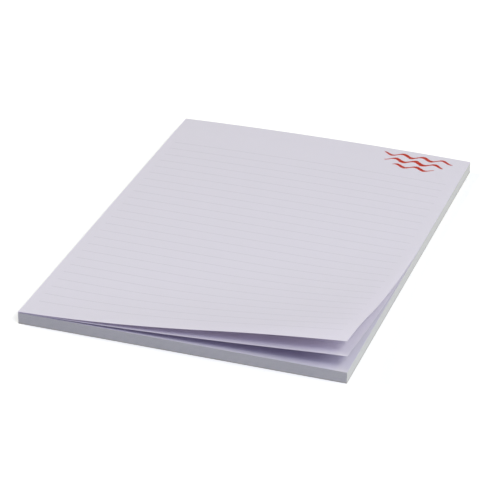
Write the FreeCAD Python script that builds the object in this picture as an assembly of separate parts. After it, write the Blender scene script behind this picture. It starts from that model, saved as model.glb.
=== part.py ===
"""Glued A4 writing pad lying flat, with its top two sheets curling up at the front right corner.

Frame, in millimetres: X runs across the pad to the right, Y runs from the loose front edge
towards the glued edge, and Z points up. The origin is under the middle of the pad, on the
surface that it lies on.
"""
import FreeCAD
import Part
import math
import os

Vector = FreeCAD.Vector

# Sheet and stack
SHEET_WIDTH = 210.0             # A4
SHEET_LENGTH = 297.0            # A4
SHEET_THICKNESS = 0.1           # writing paper of 80 g per square metre
BLOCK_SHEET_COUNT = 68          # sheets that still lie flat on each other
BOARD_THICKNESS = 0.8           # greyboard back
GLUE_THICKNESS = 0.3            # film of padding glue along the back edge
SHEET_CLEARANCE = 0.02          # air between loose sheets at the glued edge

# Crown: the glue swells the stack, most in the middle of the glued edge
CROWN_HEIGHT = 1.5              # rise at the middle of the glued edge
CROWN_LENGTH = 173.0            # distance from the glued edge at which it has died out

# Second sheet: where its curl starts and how it bends
SECOND_HOVER = 0.1              # rise of the front edge, apart from the curl
SECOND_START_RIGHT = 133.0      # from the glued edge to the curl's start on the right edge
SECOND_START_LEFT = 14.2        # from the front edge to the curl's start on the left edge
SECOND_APEX_DISTANCE = 357.5    # from the left edge to the point where the bend lines would meet
SECOND_RISE_ANGLE = 8.7         # turn of the sheet where it bends up, in degrees
SECOND_RISE_SHARE = 0.926       # share of the curled fan that bends up
SECOND_DROOP_ANGLE = 4.1        # turn of the corner that sags again, in degrees

# Top sheet: the same for the uppermost leaf
TOP_HOVER = 0.25
TOP_START_RIGHT = 116.2
TOP_START_LEFT = 15.9
TOP_APEX_DISTANCE = 419.0
TOP_RISE_ANGLE = 13.9
TOP_RISE_SHARE = 0.72
TOP_DROOP_ANGLE = 6.4

# Spacing of the points that a curled sheet's surface passes through
SURFACE_STEP = 10.0
SEWING_TOLERANCE = 0.001

# Places worked out from the sizes above
RIGHT_EDGE = SHEET_WIDTH / 2
LEFT_EDGE = -RIGHT_EDGE
BACK_EDGE = (SHEET_LENGTH + GLUE_THICKNESS) / 2
GLUED_EDGE = BACK_EDGE - GLUE_THICKNESS
FRONT_EDGE = GLUED_EDGE - SHEET_LENGTH
BLOCK_TOP = BOARD_THICKNESS + BLOCK_SHEET_COUNT * SHEET_THICKNESS
SECOND_SEAT = BLOCK_TOP + SHEET_CLEARANCE
TOP_SEAT = SECOND_SEAT + SHEET_THICKNESS + SHEET_CLEARANCE
PAD_TOP = TOP_SEAT + SHEET_THICKNESS


def crown_rise(x, y):
    """Rise of the stack: a parabola across the width, fading smoothly away from the glued edge."""
    across = 1 - (x / RIGHT_EDGE) ** 2
    nearness = max(0.0, 1 - (GLUED_EDGE - y) / CROWN_LENGTH)
    return CROWN_HEIGHT * across * nearness ** 2 * (3 - 2 * nearness)


def crown_edge(z):
    """Upper edge of the pad's back: a parabola through both corners, higher in the middle."""
    edge = Part.BezierCurve()
    edge.setPoles([
        Vector(LEFT_EDGE, GLUED_EDGE, z),
        Vector(0, GLUED_EDGE, z + 2 * CROWN_HEIGHT),
        Vector(RIGHT_EDGE, GLUED_EDGE, z),
    ])
    return edge.toShape()


def crown_face(z):
    """The crowned part of the block's top: that parabola, faded to a straight line at its front."""
    patch = Part.BezierSurface()
    patch.increase(2, 3)
    heights_across = (0, 2 * CROWN_HEIGHT, 0)
    fade_along = (0, 0, 1, 1)
    for i, height in enumerate(heights_across):
        x = LEFT_EDGE + i * SHEET_WIDTH / 2
        for j, fade in enumerate(fade_along):
            y = GLUED_EDGE - CROWN_LENGTH + j * CROWN_LENGTH / 3
            patch.setPole(i + 1, j + 1, Vector(x, y, z + height * fade))
    return patch.toShape()


def flat_face(*corners):
    """Flat face through these corners in turn."""
    return Part.Face(Part.makePolygon(list(corners) + [corners[0]]))


def back_face(z_low, z_high):
    """Upright face at the glued edge, with the crown's parabola as its upper edge."""
    left_low = Vector(LEFT_EDGE, GLUED_EDGE, z_low)
    right_low = Vector(RIGHT_EDGE, GLUED_EDGE, z_low)
    outline = Part.Wire([
        Part.makeLine(left_low, Vector(LEFT_EDGE, GLUED_EDGE, z_high)),
        crown_edge(z_high),
        Part.makeLine(Vector(RIGHT_EDGE, GLUED_EDGE, z_high), right_low),
        Part.makeLine(right_low, left_low),
    ])
    return Part.Face(outline)


def sewn_solid(faces):
    """Closed solid with these faces as its skin."""
    shell = Part.Shell(faces)
    shell.sewShape(SEWING_TOLERANCE)
    solid = Part.Solid(shell)
    if solid.Volume < 0:
        solid.reverse()
    return solid


def make_backing_board():
    """Flat greyboard that the stack is glued up with, the size of a sheet."""
    corner = Vector(LEFT_EDGE, FRONT_EDGE, 0)
    return Part.makeBox(SHEET_WIDTH, SHEET_LENGTH, BOARD_THICKNESS, corner)


def make_sheet_block():
    """The sheets that lie flat, as one block: level at the front, crowned towards the glue."""
    low, high = BOARD_THICKNESS, BLOCK_TOP
    crown_start = GLUED_EDGE - CROWN_LENGTH
    sides = [
        flat_face(Vector(x, FRONT_EDGE, low), Vector(x, GLUED_EDGE, low), Vector(x, GLUED_EDGE, high),
                  Vector(x, crown_start, high), Vector(x, FRONT_EDGE, high))
        for x in (LEFT_EDGE, RIGHT_EDGE)
    ]
    front = flat_face(Vector(LEFT_EDGE, FRONT_EDGE, low), Vector(RIGHT_EDGE, FRONT_EDGE, low),
                      Vector(RIGHT_EDGE, FRONT_EDGE, high), Vector(LEFT_EDGE, FRONT_EDGE, high))
    under_side = flat_face(Vector(LEFT_EDGE, FRONT_EDGE, low), Vector(RIGHT_EDGE, FRONT_EDGE, low),
                           Vector(RIGHT_EDGE, GLUED_EDGE, low), Vector(LEFT_EDGE, GLUED_EDGE, low))
    level_top = flat_face(Vector(LEFT_EDGE, FRONT_EDGE, high), Vector(RIGHT_EDGE, FRONT_EDGE, high),
                          Vector(RIGHT_EDGE, crown_start, high), Vector(LEFT_EDGE, crown_start, high))
    return sewn_solid(sides + [front, under_side, level_top, crown_face(high), back_face(low, high)])


def make_glue_strip():
    """Film of glue over the back edge of the board and of every sheet."""
    return back_face(0, PAD_TOP).extrude(Vector(0, GLUE_THICKNESS, 0))


class Curl:
    """A sheet bent into a fan of cones whose bend lines all meet in one point, so it never stretches."""

    def __init__(self, start_right, start_left, apex_distance, rise_angle, rise_share, droop_angle):
        right_point = Vector(RIGHT_EDGE, GLUED_EDGE - start_right, 0)
        left_point = Vector(LEFT_EDGE, FRONT_EDGE + start_left, 0)
        to_left = (left_point - right_point).normalize()
        self.apex = left_point + to_left * apex_distance
        self.start = self.polar_angle(right_point)
        fan = self.start - self.polar_angle(Vector(RIGHT_EDGE, FRONT_EDGE, 0))
        rise_fan = rise_share * fan
        droop_fan = fan - rise_fan
        self.bends = (
            (rise_fan, math.radians(rise_angle) / rise_fan),
            (droop_fan, -math.radians(droop_angle) / droop_fan),
        )

    def polar_angle(self, point):
        """Direction from the apex to a point of the flat sheet."""
        return math.atan2(point.y - self.apex.y, point.x - self.apex.x)

    def place(self, x, y, depth):
        """Where a point of the flat sheet goes, at a depth above the sheet's underside."""
        flat_point = Vector(x, y, 0)
        travel = self.start - self.polar_angle(flat_point)
        if travel <= 0:
            return flat_point + Vector(0, 0, depth)
        line = Vector(math.cos(self.start), math.sin(self.start), 0)
        normal = Vector(0, 0, 1)
        for fan, curl in self.bends:
            step = min(travel, fan)
            axis = normal + line * curl
            spin = FreeCAD.Rotation(axis, -math.degrees(step * axis.Length))
            line = spin.multVec(line)
            normal = spin.multVec(normal)
            travel -= step
        radius = flat_point.distanceToPoint(self.apex)
        return self.apex + line * radius + normal * depth


def even_steps(start, end):
    """Places from start to end, both included, about one surface step apart."""
    count = max(2, round((end - start) / SURFACE_STEP))
    return [start + (end - start) * i / count for i in range(count + 1)]


def sheet_surface(curl, seat, hover, depth):
    """One side of a curled sheet, which also hovers towards the front and follows the crown."""
    rows = []
    for x in even_steps(LEFT_EDGE, RIGHT_EDGE):
        row = []
        for y in even_steps(FRONT_EDGE, GLUED_EDGE):
            point = curl.place(x, y, depth)
            slope_rise = hover * (GLUED_EDGE - y) / SHEET_LENGTH
            row.append(point + Vector(0, 0, seat + slope_rise + crown_rise(x, y)))
        rows.append(row)
    surface = Part.BSplineSurface()
    surface.interpolate(rows)
    return surface.toShape()


def make_curled_sheet(curl, seat, hover):
    """Closed solid of one sheet: its underside, its upper side and four thin edges between them."""
    under_side = sheet_surface(curl, seat, hover, 0)
    upper_side = sheet_surface(curl, seat, hover, SHEET_THICKNESS)
    edges = [Part.makeRuledSurface(low, high) for low, high in zip(under_side.Edges, upper_side.Edges)]
    return sewn_solid([under_side, upper_side] + edges)


def make_second_sheet():
    """The leaf under the top one, curled less."""
    curl = Curl(SECOND_START_RIGHT, SECOND_START_LEFT, SECOND_APEX_DISTANCE,
                SECOND_RISE_ANGLE, SECOND_RISE_SHARE, SECOND_DROOP_ANGLE)
    return make_curled_sheet(curl, SECOND_SEAT, SECOND_HOVER)


def make_top_sheet():
    """The uppermost leaf, curled most."""
    curl = Curl(TOP_START_RIGHT, TOP_START_LEFT, TOP_APEX_DISTANCE,
                TOP_RISE_ANGLE, TOP_RISE_SHARE, TOP_DROOP_ANGLE)
    return make_curled_sheet(curl, TOP_SEAT, TOP_HOVER)


def main():
    """Build every piece and write one file for each."""
    pieces = {
        "backing_board": make_backing_board(),
        "sheet_block": make_sheet_block(),
        "second_sheet": make_second_sheet(),
        "top_sheet": make_top_sheet(),
        "glue_strip": make_glue_strip(),
    }
    os.makedirs("parts", exist_ok=True)
    for name, shape in pieces.items():
        shape.exportStep("parts/" + name + ".step")
        print(name, "volume", round(shape.Volume, 1), "valid", shape.isValid())


main()
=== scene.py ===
"""Looks of a glued writing pad that lies flat, with its top two sheets curled up at one corner.

Everything is in metres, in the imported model's frame: X runs across the pad to the right, Y runs
towards the glued edge, Z points up, and the pad lies on the plane z = 0.
"""
from __future__ import annotations

import logging
import math
from dataclasses import dataclass
from enum import Enum
from typing import Any, Mapping, Union

import bpy
import numpy as np
from mathutils import Matrix, Vector


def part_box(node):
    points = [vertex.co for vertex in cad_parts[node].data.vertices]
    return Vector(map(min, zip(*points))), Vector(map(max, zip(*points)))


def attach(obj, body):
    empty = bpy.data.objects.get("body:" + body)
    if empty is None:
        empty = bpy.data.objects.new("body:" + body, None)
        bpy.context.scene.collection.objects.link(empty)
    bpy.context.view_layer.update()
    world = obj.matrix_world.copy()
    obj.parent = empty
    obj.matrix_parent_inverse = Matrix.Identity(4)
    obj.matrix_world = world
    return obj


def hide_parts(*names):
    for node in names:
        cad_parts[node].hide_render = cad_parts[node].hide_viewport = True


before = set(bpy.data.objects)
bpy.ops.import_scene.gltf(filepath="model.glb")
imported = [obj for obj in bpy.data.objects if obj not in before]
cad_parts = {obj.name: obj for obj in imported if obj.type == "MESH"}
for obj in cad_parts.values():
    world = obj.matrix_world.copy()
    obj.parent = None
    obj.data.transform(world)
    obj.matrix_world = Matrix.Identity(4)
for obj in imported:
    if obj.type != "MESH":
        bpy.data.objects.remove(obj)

MM = 0.001
BODY = "root"
# Attribute for the materials: a point's place on its flat sheet, and its height in the pile.
PLACE = "sheet_place"
RGB = tuple[float, float, float]
Vec3 = tuple[float, float, float]
LOWER_RIM, UPPER_RIM = 1, 2     # marks of the points on a grid's rim
# Sockets of a Mix node that blends colours.
MIX_FACTOR, MIX_FIRST, MIX_SECOND, MIX_RESULT = 0, 6, 7, 2
log = logging.getLogger("writing_pad")


# Sizes

@dataclass(frozen=True)
class PadSizes:
    """Main sizes and levels of the pad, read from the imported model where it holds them."""

    left: float
    right: float
    front: float
    glued_edge: float
    back: float
    board_top: float
    sheet_thickness: float = 0.1 * MM
    flat_sheets: int = 68
    clearance: float = 0.02 * MM
    crown_height: float = 1.5 * MM
    crown_length: float = 173 * MM

    @classmethod
    def from_frame(cls) -> "PadSizes":
        """Read the outline and the board from the model's nodes.

        Returns:
            The sizes.
        """
        block_low, block_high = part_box("sheet_block")
        return cls(
            left=block_low.x,
            right=block_high.x,
            front=block_low.y,
            glued_edge=block_high.y,
            back=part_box("glue_strip")[1].y,
            board_top=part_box("backing_board")[1].z,
        )

    @property
    def length(self) -> float:
        """Length of a sheet."""
        return self.glued_edge - self.front

    @property
    def block_top(self) -> float:
        """Level of the flat pile's upper side at the loose edge."""
        return self.board_top + self.flat_sheets * self.sheet_thickness

    @property
    def second_seat(self) -> float:
        """Level of the second sheet's underside at the glued edge."""
        return self.block_top + self.clearance

    @property
    def top_seat(self) -> float:
        """Level of the top sheet's underside at the glued edge."""
        return self.second_seat + self.sheet_thickness + self.clearance

    @property
    def pad_top(self) -> float:
        """Level of the top sheet's upper side at the glued edge's ends."""
        return self.top_seat + self.sheet_thickness

    def grid(self, across: int, along: int) -> tuple[np.ndarray, np.ndarray]:
        """Lay an even grid over a flat sheet.

        Args:
            across: Number of cells along X.
            along: Number of cells along Y.

        Returns:
            The X and the Y of each point, with X along the first axis.
        """
        x, y = np.meshgrid(even(self.left, self.right, across),
                           even(self.front, self.glued_edge, along), indexing="ij")
        return x, y

    def crown(self, x: np.ndarray, y: np.ndarray) -> np.ndarray:
        """Rise of the pile, highest in the middle of the glued edge.

        The rise is a parabola across the width, times 3n^2 - 2n^3, where n falls from 1 at the
        glued edge to 0 at the crown's length.

        Args:
            x: Places across the pad.
            y: Places along the pad.

        Returns:
            The rise at each place.
        """
        across = 1 - (x / self.right) ** 2
        near = np.clip(1 - (self.glued_edge - y) / self.crown_length, 0, 1)
        return self.crown_height * across * near ** 2 * (3 - 2 * near)


# Meshes

def even(start: float, end: float, cells: int) -> np.ndarray:
    """Evenly spaced places from start to end, one more than the number of cells."""
    return np.linspace(start, end, cells + 1)


def edge_indices(across: int, along: int) -> np.ndarray:
    """Point numbers round the rim of a grid, anticlockwise seen from above.

    Args:
        across: Number of points along X.
        along: Number of points along Y.

    Returns:
        The numbers of the rim's points, each once, from the front left corner.
    """
    index = np.arange(across * along).reshape(across, along)
    return np.concatenate([index[:-1, 0], index[-1, :-1], index[:0:-1, -1], index[0, :0:-1]])


def grid_quads(across: int, along: int) -> np.ndarray:
    """Corners of a grid's faces, anticlockwise seen from above.

    Args:
        across: Number of points along X.
        along: Number of points along Y.

    Returns:
        Four point numbers for each face.
    """
    index = np.arange(across * along).reshape(across, along)
    corners = [index[:-1, :-1], index[1:, :-1], index[1:, 1:], index[:-1, 1:]]
    return np.stack(corners, -1).reshape(-1, 4)


@dataclass
class Pile:
    """A closed shape made of a lower grid, rings round its side, and an upper grid.

    Each grid is an array of points (across, along, 3), and each ring has one point for each point
    of a grid's rim. Neighbouring loops are joined by a band of faces.
    """

    lower: np.ndarray
    rings: np.ndarray
    upper: np.ndarray

    def points(self) -> np.ndarray:
        """All points: the lower grid's, then each ring's, then the upper grid's."""
        parts = [self.lower, self.rings, self.upper]
        return np.concatenate([part.reshape(-1, part.shape[-1]) for part in parts])

    def faces(self) -> tuple[np.ndarray, np.ndarray]:
        """Work out the faces.

        Returns:
            The four corners of each face, and whether the face belongs to the side.
        """
        across, along = self.lower.shape[:2]
        rim = edge_indices(across, along)
        first_ring = across * along
        first_upper = first_ring + self.rings.shape[0] * len(rim)
        gap_shade_mask = first_ring + np.arange(self.rings.shape[0] * len(rim)).reshape(-1, len(rim))
        loops = np.concatenate([rim[None], gap_shade_mask, (rim + first_upper)[None]])
        below, above = loops[:-1], loops[1:]
        corners = [below, np.roll(below, -1, 1), np.roll(above, -1, 1), above]
        band = np.stack(corners, -1).reshape(-1, 4)
        quads = grid_quads(across, along)
        faces = np.concatenate([quads[:, ::-1], band, quads + first_upper])
        is_side = np.zeros(len(faces), bool)
        is_side[len(quads):len(quads) + len(band)] = True
        return faces, is_side

    def rims(self) -> np.ndarray:
        """Mark the points on the rims of the two grids.

        Returns:
            For each point, the mark of its rim, or 0 where it is on neither.
        """
        across, along = self.lower.shape[:2]
        rim = edge_indices(across, along)
        flags = np.zeros(len(self.points()), np.int32)
        flags[rim] = LOWER_RIM
        flags[rim + len(flags) - across * along] = UPPER_RIM
        return flags


def make_piece(name: str, pile: Pile, place: np.ndarray, smooth_side: bool) -> bpy.types.Object:
    """Make a mesh object at the origin, with crisp edges between its side and the rest.

    Args:
        name: Name of the piece.
        pile: Its shape.
        place: What the materials read at each point (n, 3).
        smooth_side: Whether the side is shaded smooth. The broad faces always are.

    Returns:
        The new object, riding on the pad.
    """
    points = pile.points()
    faces, is_side = pile.faces()
    mesh = bpy.data.meshes.new(name)
    mesh.vertices.add(len(points))
    mesh.vertices.foreach_set("co", points.astype(np.float32).ravel())
    mesh.loops.add(faces.size)
    mesh.loops.foreach_set("vertex_index", faces.astype(np.int32).ravel())
    mesh.polygons.add(len(faces))
    starts = np.arange(0, faces.size, faces.shape[1], dtype=np.int32)
    mesh.polygons.foreach_set("loop_start", starts)
    mesh.polygons.foreach_set("use_smooth", ~is_side | smooth_side)
    mesh.polygons.foreach_set("material_index", is_side.astype(np.int32))
    mesh.update(calc_edges=True)
    ends = np.empty(2 * len(mesh.edges), np.int32)
    mesh.edges.foreach_get("vertices", ends)
    rims = pile.rims()[ends.reshape(-1, 2)]
    crisp = (rims[:, 0] > 0) & (rims[:, 0] == rims[:, 1])
    mesh.attributes.new("sharp_edge", "BOOLEAN", "EDGE").data.foreach_set("value", crisp)
    layer = mesh.attributes.new(PLACE, "FLOAT_VECTOR", "POINT")
    layer.data.foreach_set("vector", place.astype(np.float32).ravel())
    piece = bpy.data.objects.new(name, mesh)
    bpy.context.scene.collection.objects.link(piece)
    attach(piece, BODY)
    return piece


def dress(piece: bpy.types.Object, broad: bpy.types.Material, side: bpy.types.Material) -> None:
    """Give a piece its two finishes.

    Args:
        piece: The piece.
        broad: Finish of its lower and upper faces.
        side: Finish of its side.
    """
    piece.data.materials.append(broad)
    piece.data.materials.append(side)


# Shader maths

Value = Union[float, "Wire"]


class Wire:
    """A node's output. Arithmetic on it adds Math nodes."""

    def __init__(self, shader: "Shader", socket: bpy.types.NodeSocket) -> None:
        """Wrap a socket."""
        self.shader = shader
        self.socket = socket

    def math(self, operation: str, *others: Value) -> "Wire":
        """Apply a Math node's operation to this value and others."""
        return self.shader.math(operation, self, *others)

    def __add__(self, other: Value) -> "Wire":
        """Sum."""
        return self.math("ADD", other)

    __radd__ = __add__

    def __sub__(self, other: Value) -> "Wire":
        """Difference."""
        return self.math("SUBTRACT", other)

    def __rsub__(self, other: Value) -> "Wire":
        """Difference, the other way round."""
        return self.shader.math("SUBTRACT", other, self)

    def __mul__(self, other: Value) -> "Wire":
        """Product."""
        return self.math("MULTIPLY", other)

    __rmul__ = __mul__

    def __truediv__(self, other: Value) -> "Wire":
        """Quotient."""
        return self.math("DIVIDE", other)

    def __abs__(self) -> "Wire":
        """Size without its sign."""
        return self.math("ABSOLUTE")

    def at_least(self, low: Value) -> "Wire":
        """This value or the other, whichever is larger."""
        return self.math("MAXIMUM", low)

    def at_most(self, high: Value) -> "Wire":
        """This value or the other, whichever is smaller."""
        return self.math("MINIMUM", high)

    def clamped(self) -> "Wire":
        """This value held between 0 and 1."""
        return self.at_least(0.0).at_most(1.0)

    def above(self, edge: Value, softness: float) -> "Wire":
        """A mask that goes from 0 to 1 as this value rises past an edge.

        Args:
            edge: Where the mask is a half.
            softness: Width of the step.

        Returns:
            The mask.
        """
        return ((self - edge) / softness + 0.5).clamped()


class Shader:
    """A material's node tree, written as expressions."""

    def __init__(self, name: str) -> None:
        """Start an empty material.

        Args:
            name: The material's name.
        """
        self.material = bpy.data.materials.new(name)
        self.material.use_nodes = True
        self.tree = self.material.node_tree
        self.tree.nodes.clear()

    def node(self, kind: str, settings: Mapping[str, Any] | None = None,
             inputs: Mapping[Any, Any] | None = None, output: int | str = 0) -> Wire:
        """Add a node.

        Args:
            kind: The node's type, without its ShaderNode prefix.
            settings: Properties that are set first.
            inputs: Values or wires for its sockets, by name or number.
            output: The output that the wire comes from, by name or number.

        Returns:
            The wire.
        """
        made = self.tree.nodes.new("ShaderNode" + kind)
        for key, value in (settings or {}).items():
            setattr(made, key, value)
        for key, value in (inputs or {}).items():
            if isinstance(value, Wire):
                self.tree.links.new(value.socket, made.inputs[key])
            else:
                made.inputs[key].default_value = value
        return Wire(self, made.outputs[output])

    def math(self, operation: str, *values: Value) -> Wire:
        """Add a Math node."""
        return self.node("Math", {"operation": operation}, dict(enumerate(values)))

    def colour_mix(self, share: Value, first: RGB | Wire, second: RGB | Wire) -> Wire:
        """Blend from the first colour to the second.

        Args:
            share: 0 for the first colour, 1 for the second.
            first: A colour.
            second: A colour.

        Returns:
            The blend.
        """
        whole = [c if isinstance(c, Wire) else (*c, 1.0) for c in (first, second)]
        inputs = {MIX_FACTOR: share, MIX_FIRST: whole[0], MIX_SECOND: whole[1]}
        return self.node("Mix", {"data_type": "RGBA"}, inputs, MIX_RESULT)

    def place(self) -> tuple[Wire, Wire, Wire, Wire]:
        """Read where the point lies on its flat sheet.

        Returns:
            The place as a vector, and its x, y and third number.
        """
        vector = self.node("Attribute", {"attribute_name": PLACE}, output="Vector")
        return (vector, *(self.node("SeparateXYZ", None, {0: vector}, i) for i in range(3)))

    def noise(self, vector: Wire, size: float, detail: float = 2.0,
              stretch: Vec3 = (1, 1, 1)) -> Wire:
        """Cloudy noise between 0 and 1.

        Args:
            vector: The place.
            size: Size of the clouds, in the place's own unit.
            detail: How many finer layers it has.
            stretch: How much finer the noise is along each axis.

        Returns:
            The noise.
        """
        scale = tuple(s / size for s in stretch)
        spread = self.node("VectorMath", {"operation": "MULTIPLY"}, {0: vector, 1: scale})
        inputs = {"Vector": spread, "Scale": 1.0, "Detail": detail}
        return self.node("TexNoise", None, inputs, "Fac")

    def bump(self, height: Wire, depth: float, strength: float) -> Wire:
        """Turn a height between 0 and 1 into a normal."""
        return self.node("Bump", None, {"Height": height, "Distance": depth, "Strength": strength})

    def principled(self, colour: RGB | Wire, roughness: Value, normal: Wire | None = None,
                   constants: Mapping[str, Any] | None = None) -> Wire:
        """Add a Principled shader.

        Args:
            colour: Base colour.
            roughness: Roughness.
            normal: Normal, if the surface has relief.
            constants: Other sockets, by name, each the same all over.

        Returns:
            The shader's output.
        """
        base = colour if isinstance(colour, Wire) else (*colour, 1.0)
        inputs: dict[str, Any] = {"Base Color": base, "Roughness": roughness, **(constants or {})}
        if normal is not None:
            inputs["Normal"] = normal
        return self.node("BsdfPrincipled", None, inputs)

    def close(self, surface: Wire) -> bpy.types.Material:
        """Link a surface to the material's output.

        Args:
            surface: A shader's output.

        Returns:
            The material.
        """
        made = self.tree.nodes.new("ShaderNodeOutputMaterial")
        self.tree.links.new(surface.socket, made.inputs["Surface"])
        return self.material


# Finishes

@dataclass(frozen=True)
class Ruling:
    """Faint printed lines across a sheet."""

    first: float = 40 * MM          # from the glued edge to the first line
    pitch: float = 10 * MM
    count: int = 25
    width: float = 0.3 * MM
    left_margin: float = 6.5 * MM
    right_margin: float = 7.5 * MM
    softness: float = 0.06 * MM

    def mask(self, x: Wire, y: Wire, sizes: PadSizes) -> Wire:
        """Where the lines are, as 1 on a line and 0 between them.

        The distance from the glued edge, less the first line's, is counted in pitches. The nearest
        whole number, held between 0 and the last line, gives the nearest line.

        Args:
            x: Place across the sheet.
            y: Place along the sheet.
            sizes: The pad's sizes.

        Returns:
            The mask.
        """
        steps = (sizes.glued_edge - self.first - y) / self.pitch
        nearest = steps.math("ROUND").at_least(0.0).at_most(self.count - 1.0)
        distance = abs(steps - nearest) * self.pitch
        line = 1 - distance.above(self.width / 2, self.softness)
        inside = x.above(sizes.left + self.left_margin, self.softness)
        return line * inside * (1 - x.above(sizes.right - self.right_margin, self.softness))


@dataclass(frozen=True)
class BrushWave:
    """One wavy brush stroke of the printed header mark."""

    start: float                    # from the right edge to the stroke's left end
    length: float
    below_glue: float               # from the glued edge to the stroke's middle
    height: float                   # of its waves
    wave: float                     # length of one wave
    phase: float
    width: float
    softness: float = 0.12 * MM
    blunt: float = 0.35             # power of the parabola that narrows both ends
    swell: float = 0.35             # how much wider it is where the wave falls
    steady: float = 0.55            # share of the width that the brush always fills
    ragged: float = 0.9             # what the brush's roughness adds to it

    def mask(self, x: Wire, y: Wire, rough: Wire, sizes: PadSizes) -> Wire:
        """Where the stroke is, as 1 on it and 0 beside it.

        Its middle is a sine wave along X. Its half width falls to nothing at both ends as a power
        of a parabola, swells where the wave falls, and follows the roughness of the brush.

        Args:
            x: Place across the sheet.
            y: Place along the sheet.
            rough: Noise between 0 and 1.
            sizes: The pad's sizes.

        Returns:
            The mask.
        """
        along = (x - (sizes.right - self.start)) / self.length
        turn = x * (2 * math.pi / self.wave) + self.phase
        middle = turn.math("SINE") * self.height + (sizes.glued_edge - self.below_glue)
        taper = (4 * along * (1 - along)).at_least(0.0).math("POWER", self.blunt)
        swell = 1 - self.swell * turn.math("COSINE")
        half = taper * swell * (self.steady + self.ragged * rough) * (self.width / 2)
        return (half - abs(y - middle)).above(self.softness / 2, self.softness)


HEADER_MARK = (
    BrushWave(start=60 * MM, length=50 * MM, below_glue=8.0 * MM, height=1.9 * MM,
              wave=14 * MM, phase=0.4, width=2.9 * MM),
    BrushWave(start=57 * MM, length=42 * MM, below_glue=16.0 * MM, height=1.9 * MM,
              wave=14 * MM, phase=2.0, width=3.3 * MM),
    BrushWave(start=50 * MM, length=30 * MM, below_glue=24.0 * MM, height=1.7 * MM,
              wave=14 * MM, phase=0.8, width=2.8 * MM),
)


@dataclass(frozen=True)
class WritingPaper:
    """Smooth white writing paper with faint ruling and a small brushed mark in its header."""

    name: str = "writing_paper"
    light: RGB = (0.690, 0.660, 0.775)
    dark: RGB = (0.665, 0.635, 0.755)
    line_ink: RGB = (0.455, 0.435, 0.525)
    mark_ink: RGB = (0.600, 0.050, 0.012)
    ruling: Ruling = Ruling()
    glow_through: float = 0.0       # share of the light that enters the sheet at each side
    through: RGB = (1.0, 0.93, 1.0)
    cloud_size: float = 6 * MM
    cloud_share: float = 0.6        # of the tone, which otherwise follows the fibres
    fibre_size: float = 0.35 * MM
    relief: float = 0.01 * MM
    ink_strength: float = 0.75      # where the paper takes least of it
    brush_grain: float = 1.1 * MM   # size of the roughness along the strokes
    dry_grain: float = 0.9 * MM     # size of the dry streaks in the strokes
    dry_stretch: Vec3 = (0.25, 1.5, 1.0)
    roughness: float = 0.78
    gloss: float = 0.3

    def material(self, sizes: PadSizes) -> bpy.types.Material:
        """Build the finish: cloudy fibre tone, ink, a fine felt-like relief, and light from behind.

        Args:
            sizes: The pad's sizes.

        Returns:
            The material.
        """
        shader = Shader(self.name)
        vector, x, y, _ = shader.place()
        clouds = shader.noise(vector, self.cloud_size, 3.0)
        fibres = shader.noise(vector, self.fibre_size, 2.0)
        tone = clouds * self.cloud_share + fibres * (1 - self.cloud_share)
        colour = shader.colour_mix(tone, self.light, self.dark)
        uneven = 1 - self.ink_strength
        ink = self.ruling.mask(x, y, sizes) * (self.ink_strength + uneven * fibres)
        colour = shader.colour_mix(ink, colour, self.line_ink)
        rough = shader.noise(vector, self.brush_grain, 3.0)
        mark = HEADER_MARK[0].mask(x, y, rough, sizes)
        for stroke in HEADER_MARK[1:]:
            mark = mark.at_least(stroke.mask(x, y, rough, sizes))
        dry = shader.noise(vector, self.dry_grain, 3.0, self.dry_stretch).above(0.4, 0.08)
        mark = mark * (self.ink_strength + uneven * dry)
        colour = shader.colour_mix(mark, colour, self.mark_ink)
        relief = shader.bump(fibres, self.relief, 0.5)
        surface = shader.principled(colour, self.roughness + 0.1 * fibres, relief,
                                    {"Specular IOR Level": self.gloss})
        if self.glow_through > 0:
            inner = shader.node("BsdfTranslucent", None, {"Color": (*self.through, 1.0)})
            surface = shader.node("MixShader", None, {0: self.glow_through, 1: surface, 2: inner})
        return shader.close(surface)


LOOSE_LEAF = WritingPaper(
    name="loose_leaf",
    light=(0.845, 0.824, 0.940),
    dark=(0.815, 0.794, 0.916),
    line_ink=(0.557, 0.543, 0.637),
    mark_ink=(0.600, 0.035, 0.008),
    glow_through=0.3,
)


@dataclass(frozen=True)
class PageEdges:
    """Guillotined edges of a pile of sheets: one fine layer for each sheet, with painted shade in the
    line between two sheets.
    """

    name: str = "page_edges"
    light: RGB = (0.705, 0.692, 0.715)
    dark: RGB = (0.650, 0.637, 0.660)
    # colour of the painted shade in the line between two sheets
    painted_gap_shade: RGB = (0.480, 0.468, 0.500)
    layer_length: float = 22 * MM   # over which a sheet's tone changes
    fibre_size: float = 0.3 * MM
    relief: float = 0.01 * MM
    shade_from: float = 0.86          # share of a sheet's half thickness where the painted shade between sheets begins
    shade_softness: float = 0.2
    shade_share: float = 0.5

    def material(self) -> bpy.types.Material:
        """Build the finish from the height in the pile, counted in sheets, with painted shade where
        two sheets meet.

        Returns:
            The material.
        """
        shader = Shader(self.name)
        vector, _, _, level = shader.place()
        per_sheet = (1 / self.layer_length, 1 / self.layer_length, 1.0)
        tone = shader.noise(vector, 1.0, 1.0, per_sheet)
        middle = abs(level.math("FRACT") - 0.5) * 2
        colour = shader.colour_mix(tone.above(0.5, 0.5), self.light, self.dark)
        # painted shade: darker near the line between two sheets, where the crevice lies in shade
        gap_shade_mask = middle.above(self.shade_from, self.shade_softness) * self.shade_share
        colour = shader.colour_mix(gap_shade_mask, colour, self.painted_gap_shade)
        per_fibre = (1 / self.fibre_size, 1 / self.fibre_size, 2.0)
        fibres = shader.noise(vector, 1.0, 2.0, per_fibre)
        relief = shader.bump(fibres, self.relief, 0.5)
        return shader.close(shader.principled(colour, 0.86 + 0.08 * fibres, relief,
                                              {"Specular IOR Level": 0.2}))


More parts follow.
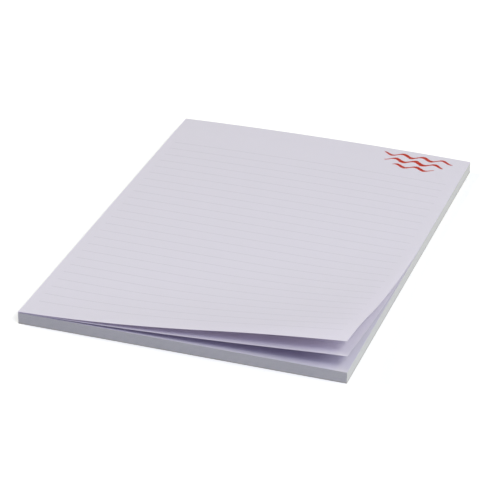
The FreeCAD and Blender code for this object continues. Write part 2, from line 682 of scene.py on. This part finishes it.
@dataclass(frozen=True)
class Greyboard:
    """Recycled board: warm grey, speckled with darker and lighter fibres."""

    name: str = "greyboard"
    light: RGB = (0.66, 0.63, 0.61)
    dark: RGB = (0.54, 0.51, 0.49)
    fleck: RGB = (0.20, 0.18, 0.16)
    cloud_size: float = 5 * MM
    fibre_size: float = 1.2 * MM
    fibre_stretch: Vec3 = (0.5, 2.0, 4.0)
    fleck_size: float = 0.7 * MM
    fleck_share: float = 0.6
    relief: float = 0.05 * MM

    def material(self) -> bpy.types.Material:
        """Build the finish from clouds, long fibres and sparse flecks.

        Returns:
            The material.
        """
        shader = Shader(self.name)
        vector = shader.place()[0]
        clouds = shader.noise(vector, self.cloud_size, 4.0)
        fibres = shader.noise(vector, self.fibre_size, 3.0, self.fibre_stretch)
        flecks = shader.noise(vector, self.fleck_size, 1.0).above(0.72, 0.06)
        colour = shader.colour_mix(clouds * 0.5 + fibres * 0.5, self.light, self.dark)
        colour = shader.colour_mix(flecks * self.fleck_share, colour, self.fleck)
        relief = shader.bump(fibres, self.relief, 0.6)
        return shader.close(shader.principled(colour, 0.88 + 0.08 * clouds, relief,
                                              {"Specular IOR Level": 0.2}))


@dataclass(frozen=True)
class PaddingGlue:
    """Dried film of milky padding glue, brushed on along the edge."""

    name: str = "padding_glue"
    thick: RGB = (0.80, 0.78, 0.76)
    thin: RGB = (0.66, 0.65, 0.66)
    streak_size: float = 1.0 * MM
    streak_stretch: Vec3 = (0.05, 1.0, 3.0)
    cloud_size: float = 9 * MM
    relief: float = 0.05 * MM

    def material(self) -> bpy.types.Material:
        """Build the finish from streaks along the pad's width.

        Returns:
            The material.
        """
        shader = Shader(self.name)
        vector = shader.place()[0]
        streaks = shader.noise(vector, self.streak_size, 3.0, self.streak_stretch)
        clouds = shader.noise(vector, self.cloud_size, 2.0)
        colour = shader.colour_mix(streaks * 0.6 + clouds * 0.4, self.thick, self.thin)
        relief = shader.bump(streaks, self.relief, 0.5)
        return shader.close(shader.principled(colour, 0.3 + 0.25 * clouds, relief))


@dataclass(frozen=True)
class StudioFloor:
    """Plain pale table top that the pad lies on. It throws back less light than it shows."""

    name: str = "studio_floor"
    colour: RGB = (0.93, 0.93, 0.985)
    glow: float = 0.22
    bounce: RGB = (0.30, 0.30, 0.30)
    half_size: float = 6.0
    drop: float = 0.02 * MM         # just under the pad, so that the two never flicker

    def material(self) -> bpy.types.Material:
        """Build the finish: pale where it is seen directly, greyer in the light it throws back.

        Returns:
            The material.
        """
        shader = Shader(self.name)
        glow = {"Emission Color": (1.0, 1.0, 1.0, 1.0), "Emission Strength": self.glow}
        seen = shader.principled(self.colour, 0.9, None, glow)
        thrown = shader.node("BsdfDiffuse", None, {"Color": (*self.bounce, 1.0)})
        directly = shader.node("LightPath", output="Is Camera Ray")
        return shader.close(shader.node("MixShader", None, {0: directly, 1: thrown, 2: seen}))

    def build(self) -> bpy.types.Object:
        """Make the floor as one large square, which is not attached to the pad.

        Returns:
            The floor.
        """
        across = np.array([-1, 1, 1, -1]) * self.half_size
        along = np.array([-1, -1, 1, 1]) * self.half_size
        points = np.stack([across, along, np.full(4, -self.drop)], -1)
        mesh = bpy.data.meshes.new(self.name)
        mesh.from_pydata(points.tolist(), [], [(0, 1, 2, 3)])
        floor = bpy.data.objects.new(self.name, mesh)
        bpy.context.scene.collection.objects.link(floor)
        mesh.materials.append(self.material())
        return floor


# The pad's pieces

@dataclass(frozen=True)
class Curl:
    """How a sheet bends: cones whose bend lines all meet in one point, so it never stretches."""

    start_right: float              # from the glued edge to the curl's start on the right edge
    start_left: float               # from the front edge to the curl's start on the left edge
    apex_distance: float            # from the left edge to the point where the bend lines meet
    rise_angle: float               # turn of the sheet where it bends up, in degrees
    rise_share: float               # share of the fan that bends up
    droop_angle: float              # turn of the corner that sags again, in degrees

    def apex(self, sizes: PadSizes) -> np.ndarray:
        """Find the point of the flat sheet's plane where all bend lines meet.

        Args:
            sizes: The pad's sizes.

        Returns:
            Its X and Y.
        """
        right_point = np.array([sizes.right, sizes.glued_edge - self.start_right])
        left_point = np.array([sizes.left, sizes.front + self.start_left])
        to_left = (left_point - right_point) / np.linalg.norm(left_point - right_point)
        return left_point + to_left * self.apex_distance

    def place(self, x: np.ndarray, y: np.ndarray, depth: float, sizes: PadSizes) -> np.ndarray:
        """Bend points of the flat sheet.

        A point lies on a straight line from the apex. Behind the start of the curl the sheet is
        flat. Past it, the line and the sheet's normal turn together: once round the normal as the
        line sweeps over the sheet, and, in proportion, round the line itself, which is the bend.

        Args:
            x: Places across the flat sheet.
            y: Places along the flat sheet.
            depth: Height above the sheet's underside.
            sizes: The pad's sizes.

        Returns:
            The points, with z counted from the sheet's seat.
        """
        apex = self.apex(sizes)
        start = math.atan2(sizes.glued_edge - self.start_right - apex[1], sizes.right - apex[0])
        fan = start - math.atan2(sizes.front - apex[1], sizes.right - apex[0])
        rise_fan = self.rise_share * fan
        bends = ((rise_fan, math.radians(self.rise_angle) / rise_fan),
                 (fan - rise_fan, -math.radians(self.droop_angle) / (fan - rise_fan)))
        travel = np.maximum(start - np.arctan2(y - apex[1], x - apex[0]), 0)
        radius = np.hypot(x - apex[0], y - apex[1])[..., None]
        bent = travel > 0
        line = np.zeros(x.shape + (3,)) + (math.cos(start), math.sin(start), 0)
        normal = np.zeros(x.shape + (3,)) + (0, 0, 1)
        for fan_part, curl in bends:
            step = np.minimum(travel, fan_part)
            axis = normal + line * curl
            size = np.linalg.norm(axis, axis=-1, keepdims=True)
            turn = -step[..., None] * size
            line, normal = (turned(v, axis / size, turn) for v in (line, normal))
            travel = travel - step
        curled = np.append(apex, 0.0) + line * radius + normal * depth
        flat = np.stack([x, y, np.full(x.shape, depth)], -1)
        return np.where(bent[..., None], curled, flat)


def turned(vector: np.ndarray, axis: np.ndarray, angle: np.ndarray) -> np.ndarray:
    """Turn vectors about unit axes.

    A turned vector is the part of it along the axis, which stays, plus the rest of it times the
    cosine, plus the cross product of the axis and the vector times the sine.

    Args:
        vector: The vectors.
        axis: The unit axes.
        angle: The angles.

    Returns:
        The turned vectors.
    """
    along = (vector * axis).sum(-1, keepdims=True)
    cos, sin = np.cos(angle), np.sin(angle)
    return vector * cos + np.cross(axis, vector) * sin + axis * along * (1 - cos)


@dataclass
class CurledSheet:
    """One loose sheet, held at the glued edge and curled up at its front right corner."""

    name: str
    sizes: PadSizes
    curl: Curl
    seat: float                     # level of its underside at the glued edge
    hover: float                    # rise of the front edge, apart from the curl
    cockle: float                   # height of the slight waves that paper takes
    cells_across: int = 105
    cells_along: int = 148
    wave_lengths: Vec3 = (19 * MM, 31 * MM, 26 * MM)    # across, along, and the slow swing along

    def side(self, x: np.ndarray, y: np.ndarray, depth: float) -> np.ndarray:
        """Points of one side of the sheet.

        The bent sheet is raised to its seat, by the hover in proportion to the distance from the
        glued edge, by the crown, and by slow waves that a parabola fades out at both ends.

        Args:
            x: Places across the flat sheet.
            y: Places along the flat sheet.
            depth: Height above the sheet's underside.

        Returns:
            The points.
        """
        share = (self.sizes.glued_edge - y) / self.sizes.length
        across, along, swing = self.wave_lengths
        waves = 0.5 + 0.5 * np.sin(x / across + y / along) * np.cos(y / swing)
        fade = 4 * share * (1 - share)
        points = self.curl.place(x, y, depth, self.sizes)
        points[..., 2] += self.seat + self.hover * share + self.sizes.crown(x, y)
        points[..., 2] += self.cockle * waves * fade
        return points

    def build(self, paper: bpy.types.Material) -> bpy.types.Object:
        """Make the sheet as a closed mesh, in place of its solid.

        Args:
            paper: Its finish.

        Returns:
            The sheet.
        """
        sizes = self.sizes
        x, y = sizes.grid(self.cells_across, self.cells_along)
        no_rings = np.zeros((0, 2 * (self.cells_across + self.cells_along), 3))
        pile = Pile(self.side(x, y, 0.0), no_rings, self.side(x, y, sizes.sheet_thickness))
        flat = np.stack([x, y, np.zeros(x.shape)], -1)
        piece = make_piece(self.name + "_paper", pile, Pile(flat, no_rings, flat).points(), False)
        dress(piece, paper, paper)
        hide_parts(self.name)
        return piece


@dataclass
class SheetBlock:
    """The sheets that lie flat, with the edge of each one showing on three sides."""

    sizes: PadSizes
    cells_across: int = 60
    cells_along: int = 84
    groove: float = 0.02 * MM       # depth of the line between two sheets
    stray: float = 0.03 * MM        # how far a sheet may stay behind its neighbours
    loop_levels: Vec3 = (0.12, 0.5, 0.88)   # of a sheet's three loops, as shares of its thickness
    seed: int = 7

    def outline(self, recess: np.ndarray, x: np.ndarray,
                y: np.ndarray) -> tuple[np.ndarray, np.ndarray]:
        """Draw the rim of a sheet in from the block's outline, except at the glued edge.

        Args:
            recess: How far it is drawn in.
            x: The rim's places across the pad.
            y: The rim's places along the pad.

        Returns:
            The new places across and along the pad.
        """
        sizes = self.sizes
        inner_x = np.clip(x, sizes.left + recess, sizes.right - recess)
        return inner_x, np.maximum(y, sizes.front + recess)

    def rings(self, x: np.ndarray, y: np.ndarray) -> tuple[np.ndarray, np.ndarray]:
        """Work out the side, with three loops for each sheet.

        A sheet's loops lie near its lower face, at its middle and near its upper face, and the two
        outer ones are drawn in by the groove. All three are drawn in by the sheet's own share of
        the stray, which changes slowly round the pad as a sine does. The level of a loop at a place is
        the same share of the pile's height there, so the layers spread towards the crown.

        Args:
            x: The rim's places across the pad.
            y: The rim's places along the pad.

        Returns:
            The loops' points, and their places for the materials, with the level in sheets.
        """
        sizes = self.sizes
        random = np.random.default_rng(self.seed)
        count = sizes.flat_sheets
        base, swing, phase = random.uniform(0, 1, (3, count, 1))
        round_pad = np.linspace(0, 2 * math.pi, len(x), endpoint=False)[None, :]
        sway = 1 + np.sin(round_pad + 2 * math.pi * phase)
        recess = self.stray * (0.5 * base + 0.25 * swing * sway)
        levels = np.array(self.loop_levels)
        level = (np.arange(count)[:, None] + levels[None, :]).reshape(-1, 1)
        inward = np.repeat(recess, len(levels), 0)
        inward[0::len(levels)] += self.groove
        inward[len(levels) - 1::len(levels)] += self.groove
        ring_x, ring_y = self.outline(inward, x[None, :], y[None, :])
        height = sizes.block_top - sizes.board_top + sizes.crown(x, y)
        ring_z = sizes.board_top + height[None, :] * level / count
        place = np.stack([*np.broadcast_arrays(x[None, :], y[None, :], level)], -1)
        return np.stack([ring_x, ring_y, ring_z], -1), place

    def build(self, paper: bpy.types.Material, edges: bpy.types.Material) -> bpy.types.Object:
        """Make the block as a closed mesh, in place of its solid.

        Args:
            paper: Finish of its lower and upper faces.
            edges: Finish of its side.

        Returns:
            The block.
        """
        sizes = self.sizes
        x, y = sizes.grid(self.cells_across, self.cells_along)
        rim = edge_indices(*x.shape)
        rings, ring_place = self.rings(x.ravel()[rim], y.ravel()[rim])
        lower = np.stack([x, y, np.full(x.shape, sizes.board_top)], -1)
        upper = np.stack([x, y, sizes.block_top + sizes.crown(x, y)], -1)
        level_low = np.stack([x, y, np.zeros(x.shape)], -1)
        level_high = np.stack([x, y, np.full(x.shape, float(sizes.flat_sheets))], -1)
        place = Pile(level_low, ring_place, level_high).points()
        piece = make_piece("sheet_block_pages", Pile(lower, rings, upper), place, False)
        dress(piece, paper, edges)
        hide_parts("sheet_block")
        return piece


@dataclass
class BackingBoard:
    """The greyboard back, with slightly softened cut edges."""

    sizes: PadSizes
    cells_across: int = 60
    cells_along: int = 84
    softening: float = 0.07 * MM
    edge_steps: int = 4             # loops round each softened edge

    def build(self, board: bpy.types.Material) -> bpy.types.Object:
        """Make the board as a closed mesh, in place of its solid.

        Its side is a stadium-like profile: each loop is drawn in by the softening, less a quarter
        circle of that radius, near the lower and the upper face.

        Args:
            board: Its finish.

        Returns:
            The board.
        """
        sizes = self.sizes
        x, y = sizes.grid(self.cells_across, self.cells_along)
        turn = np.linspace(0, math.pi / 2, self.edge_steps)
        inward = self.softening * (1 - np.sin(turn))
        rise = self.softening * (1 - np.cos(turn))
        inward = np.concatenate([inward, inward[::-1]])
        level = np.concatenate([rise, sizes.board_top - rise[::-1]])
        shrink_x = 1 - inward / sizes.right
        shrink_y = 1 - 2 * inward / sizes.length
        middle = (sizes.front + sizes.glued_edge) / 2

        def shrunk(i: int) -> np.ndarray:
            """Work out the board's points at one loop's level.

            Args:
                i: Number of the loop, from below.

            Returns:
                The points.
            """
            across = x * shrink_x[i]
            along = middle + (y - middle) * shrink_y[i]
            return np.stack([across, along, np.full(x.shape, level[i])], -1)

        rim = edge_indices(*x.shape)
        rings = np.stack([shrunk(i).reshape(-1, 3)[rim] for i in range(1, len(level) - 1)])
        pile = Pile(shrunk(0), rings, shrunk(len(level) - 1))
        piece = make_piece("backing_board_greyboard", pile, pile.points(), True)
        dress(piece, board, board)
        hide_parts("backing_board")
        return piece


@dataclass
class GlueStrip:
    """The film of glue over the pad's back edge, which shows the sheets under it as fine ridges."""

    sizes: PadSizes
    cells_across: int = 300
    cells_up: int = 70
    thin_share: float = 0.45        # thickness of the film at its thinnest, as a share of its most
    ridges: int = 34
    ridge_depth: float = 0.12       # as a share of the film's most
    mark_depth: float = 0.25        # the same for the brush marks
    rim_width: float = 0.5 * MM     # over which the film thins towards its rim
    mark_lengths: tuple[float, float] = (11 * MM, 37 * MM)
    mark_slants: tuple[float, float] = (5, 9)

    def build(self, glue: bpy.types.Material) -> bpy.types.Object:
        """Make the film as a closed mesh, in place of its solid.

        The grid runs across the pad and up its back. The film's thickness is its most, less slow
        brush marks, less the cosine of fine ridges, and it thins to its least along its rim.

        Args:
            glue: Its finish.

        Returns:
            The film.
        """
        sizes = self.sizes
        x, share = np.meshgrid(even(sizes.right, sizes.left, self.cells_across),
                               even(0, 1, self.cells_up), indexing="ij")
        top = sizes.pad_top + sizes.crown(x, np.full(x.shape, sizes.glued_edge))
        z = share * top
        short, long = self.mark_lengths
        rising, falling = self.mark_slants
        marks = 0.5 + 0.5 * np.sin(x / short + rising * share) * np.cos(x / long - falling * share)
        fine = 0.5 + 0.5 * np.cos(2 * math.pi * self.ridges * share)
        full = 1 - self.mark_depth * marks - self.ridge_depth * fine
        to_rim = np.minimum(np.minimum(share, 1 - share) * top, sizes.right - np.abs(x))
        from_rim = np.clip(to_rim / self.rim_width, 0, 1) ** 0.5
        film = self.thin_share + (full - self.thin_share) * from_rim
        outer = sizes.glued_edge + (sizes.back - sizes.glued_edge) * film
        inner_points = np.stack([x, np.full(x.shape, sizes.glued_edge), z], -1)
        outer_points = np.stack([x, outer, z], -1)
        no_rings = np.zeros((0, 2 * (self.cells_across + self.cells_up), 3))
        pile = Pile(inner_points, no_rings, outer_points)
        piece = make_piece("glue_strip_film", pile, pile.points(), False)
        dress(piece, glue, glue)
        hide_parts("glue_strip")
        return piece


# The studio

class LightRole(Enum):
    """Where a light stands in the studio."""

    LEFT = "left_softbox"
    RIGHT_LOW = "right_low_softbox"
    RIGHT_FRONT = "right_front_softbox"
    FRONT_HIGH = "front_high_softbox"
    BACK_RIGHT = "back_right_softbox"


@dataclass(frozen=True)
class Softbox:
    """A large square lamp that faces the pad."""

    role: LightRole
    place: Vec3
    size: float                     # length of its sides
    power: float
    colour: RGB

    def build(self) -> bpy.types.Object:
        """Make the lamp, turned towards the pad and out of the camera's sight.

        Returns:
            The lamp.
        """
        lamp = bpy.data.lights.new(self.role.value, "AREA")
        lamp.shape = "SQUARE"
        lamp.size = self.size
        lamp.energy = self.power
        lamp.color = self.colour
        made = bpy.data.objects.new(self.role.value, lamp)
        bpy.context.scene.collection.objects.link(made)
        made.location = self.place
        made.rotation_euler = (-Vector(self.place)).to_track_quat("-Z", "Y").to_euler()
        made.visible_camera = False
        return made


@dataclass(frozen=True)
class Sky:
    """Pale backdrop past the floor. The light that it throws is cooler, and fills the shadows."""

    seen: RGB = (0.93, 0.93, 0.93)
    thrown: RGB = (0.186, 0.183, 0.347)

    def build(self) -> None:
        """Set the world's colour, as it is seen directly and as light."""
        world = bpy.data.worlds.new("studio_sky")
        world.use_nodes = True
        nodes, links = world.node_tree.nodes, world.node_tree.links
        path = nodes.new("ShaderNodeLightPath")
        blend = nodes.new("ShaderNodeMix")
        blend.data_type = "RGBA"
        blend.inputs[MIX_FIRST].default_value = (*self.thrown, 1.0)
        blend.inputs[MIX_SECOND].default_value = (*self.seen, 1.0)
        links.new(path.outputs["Is Camera Ray"], blend.inputs[MIX_FACTOR])
        links.new(blend.outputs[MIX_RESULT], nodes["Background"].inputs["Color"])
        bpy.context.scene.world = world


@dataclass(frozen=True)
class PhotoCamera:
    """A camera that sees the pad as the photograph does."""

    place: Vec3 = (0.42031, -1.26909, 0.71429)
    azimuth: float = 18.554
    elevation: float = 28.290
    roll: float = 0.544
    focal_pixels: float = 2319.1
    picture_pixels: float = 500.0
    sensor_width: float = 36.0
    clip: tuple[float, float] = (0.05, 50.0)    # nearest and farthest that it sees

    def build(self) -> bpy.types.Object:
        """Make the camera from its place, its two angles and its roll.

        Returns:
            The camera.
        """
        azimuth = math.radians(self.azimuth)
        elevation = math.radians(self.elevation)
        roll = math.radians(self.roll)
        back = Vector((math.sin(azimuth) * math.cos(elevation),
                       -math.cos(azimuth) * math.cos(elevation),
                       math.sin(elevation)))
        right = Vector((0, 0, 1)).cross(back).normalized()
        up = back.cross(right)
        rolled_right = right * math.cos(roll) + up * math.sin(roll)
        rolled_up = up * math.cos(roll) - right * math.sin(roll)
        data = bpy.data.cameras.new("photo_camera")
        data.sensor_width = self.sensor_width
        data.lens = self.focal_pixels / self.picture_pixels * self.sensor_width
        data.clip_start, data.clip_end = self.clip
        camera = bpy.data.objects.new("photo_camera", data)
        bpy.context.scene.collection.objects.link(camera)
        turn = Matrix((rolled_right, rolled_up, back)).transposed().to_4x4()
        camera.matrix_world = Matrix.Translation(self.place) @ turn
        bpy.context.scene.camera = camera
        return camera


LIGHTS = (
    Softbox(role=LightRole.LEFT, place=(-1.7, 0.0, 1.3), size=1.0, power=22.87,
            colour=(0.991, 1.0, 0.651)),
    Softbox(role=LightRole.RIGHT_LOW, place=(1.85, 0.0, 0.85), size=0.8, power=10.11,
            colour=(0.934, 1.0, 0.850)),
    Softbox(role=LightRole.RIGHT_FRONT, place=(1.1, -1.0, 1.5), size=0.8, power=16.13,
            colour=(0.931, 0.987, 1.0)),
    Softbox(role=LightRole.FRONT_HIGH, place=(0.1, -0.9, 1.9), size=0.8, power=5.97,
            colour=(1.0, 0.991, 0.571)),
    Softbox(role=LightRole.BACK_RIGHT, place=(1.2, 1.2, 1.4), size=0.8, power=9.87,
            colour=(0.992, 1.0, 0.432)),
)

SECOND_CURL = Curl(start_right=133.0 * MM, start_left=14.2 * MM, apex_distance=357.5 * MM,
                   rise_angle=8.7, rise_share=0.926, droop_angle=4.1)
TOP_CURL = Curl(start_right=116.2 * MM, start_left=15.9 * MM, apex_distance=419.0 * MM,
                rise_angle=13.9, rise_share=0.72, droop_angle=6.4)


def build_studio() -> None:
    """Set up the camera, floor, backdrop and lights."""
    scene = bpy.context.scene
    scene.view_settings.view_transform = "Standard"
    PhotoCamera().build()
    StudioFloor().build()
    Sky().build()
    for light in LIGHTS:
        light.build()


def main() -> None:
    """Build the pad and its studio, and report each piece."""
    logging.basicConfig(level=logging.INFO, format="%(name)s: %(message)s")
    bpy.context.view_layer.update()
    sizes = PadSizes.from_frame()
    build_studio()
    paper = WritingPaper().material(sizes)
    leaf = LOOSE_LEAF.material(sizes)
    board = Greyboard().material()
    pieces = [
        BackingBoard(sizes).build(board),
        SheetBlock(sizes).build(paper, PageEdges().material()),
        CurledSheet(name="second_sheet", sizes=sizes, curl=SECOND_CURL, seat=sizes.second_seat,
                    hover=0.1 * MM, cockle=0.05 * MM).build(leaf),
        CurledSheet(name="top_sheet", sizes=sizes, curl=TOP_CURL, seat=sizes.top_seat,
                    hover=0.25 * MM, cockle=0.1 * MM).build(leaf),
        GlueStrip(sizes).build(PaddingGlue().material()),
    ]
    for piece in pieces:
        log.info("%s has %d faces", piece.name, len(piece.data.polygons))


if __name__ == "__main__":
    main()
